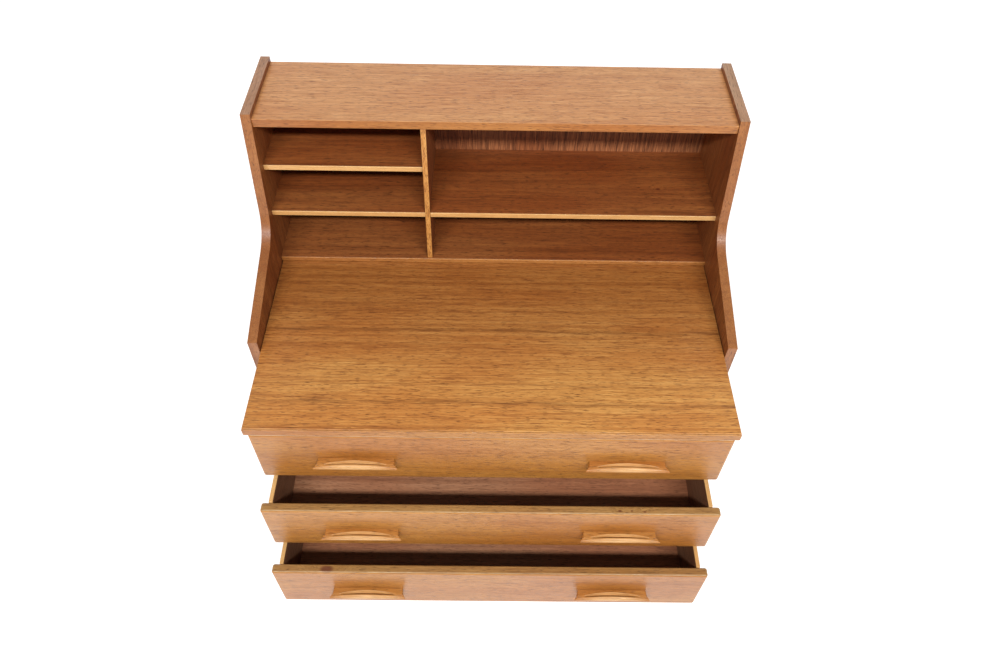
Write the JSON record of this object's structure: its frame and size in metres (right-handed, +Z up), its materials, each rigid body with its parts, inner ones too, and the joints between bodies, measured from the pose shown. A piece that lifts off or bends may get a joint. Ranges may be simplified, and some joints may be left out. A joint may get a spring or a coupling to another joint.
{
  "type": "secretary desk",
  "caption": "Teak secretary desk with a sliding writing board, drawers with carved lip handles, and an open hutch between waisted side panels on tapered legs.",
  "frame": {"origin": "on the floor at the middle of the outline that the desk covers with its drawers standing open as stored", "axes": "+Z up, +X to the right, the drawer fronts face -Y"},
  "size_m": [0.9, 0.771, 1.0645],
  "materials": {
    "teak_veneer": "satin lacquered teak veneer, straight grain with darker streaks",
    "teak_solid": "satin lacquered solid teak",
    "teak_inside": "darker teak veneer inside the hutch and case",
    "pale_lipping": "pale solid wood lipping",
    "back_ply": "reddish brown veneered plywood with ribbon figure",
    "beech": "planed beech, oiled",
    "drawer_ply": "dark veneered plywood",
    "steel": "zinc plated screws",
    "glide_plastic": "off-white glides"
  },
  "bodies": {
    "case": {"side_panel_left": "teak_veneer", "side_panel_right": "teak_veneer", "top_board": "teak_veneer", "hutch_floor": "teak_inside", "hutch_floor_lipping": "teak_solid", "divider": "teak_veneer", "shelf_upper_left": "teak_inside", "shelf_lower_left": "teak_inside", "shelf_right": "teak_inside", "shelf_lipping_upper_left": "pale_lipping", "shelf_lipping_lower_left": "pale_lipping", "shelf_lipping_right": "pale_lipping", "back_panel": "back_ply", "case_bottom": "teak_inside", "front_stiles": "teak_solid", "rail_upper": "teak_solid", "rail_lower": "teak_solid", "runners_upper": "beech", "runners_lower": "beech", "guides_bottom": "beech", "board_bearers": "beech", "drawer_stops": "beech", "base_rail_front": "teak_solid", "base_rail_back": "teak_solid", "base_rail_left": "teak_solid", "base_rail_right": "teak_solid", "leg_front_left": "teak_solid", "leg_front_right": "teak_solid", "leg_back_left": "teak_solid", "leg_back_right": "teak_solid", "leg_glides": "glide_plastic", "base_cleats": "beech", "base_screws": "steel", "back_screws": "steel"},
    "writing_slide": {"writing_board": "teak_veneer", "writing_board_lipping": "teak_solid"},
    "top_drawer": {"top_drawer_front": "teak_veneer", "top_drawer_side_left": "beech", "top_drawer_side_right": "beech", "top_drawer_back": "beech", "top_drawer_bottom": "drawer_ply", "top_handle_left": "teak_solid", "top_handle_right": "teak_solid", "top_handle_screws": "steel"},
    "middle_drawer": {"middle_drawer_front": "teak_veneer", "middle_drawer_side_left": "beech", "middle_drawer_side_right": "beech", "middle_drawer_back": "beech", "middle_drawer_bottom": "drawer_ply", "middle_handle_left": "teak_solid", "middle_handle_right": "teak_solid", "middle_handle_screws": "steel"},
    "lower_drawer": {"lower_drawer_front": "teak_veneer", "lower_drawer_side_left": "beech", "lower_drawer_side_right": "beech", "lower_drawer_back": "beech", "lower_drawer_bottom": "drawer_ply", "lower_handle_left": "teak_solid", "lower_handle_right": "teak_solid", "lower_handle_screws": "steel"}
  },
  "joints": [
    {"name": "writing_board_slide", "type": "slide", "parent": "case", "child": "writing_slide", "axis": [0, -1, 0], "range_m": [-0.1735, 0.025]},
    {"name": "top_drawer_slide", "type": "slide", "parent": "case", "child": "top_drawer", "axis": [0, -1, 0], "range_m": [-0.174, 0.146]},
    {"name": "middle_drawer_slide", "type": "slide", "parent": "case", "child": "middle_drawer", "axis": [0, -1, 0], "range_m": [-0.239, 0.081]},
    {"name": "lower_drawer_slide", "type": "slide", "parent": "case", "child": "lower_drawer", "axis": [0, -1, 0], "range_m": [-0.293, 0.027]}
  ]
}
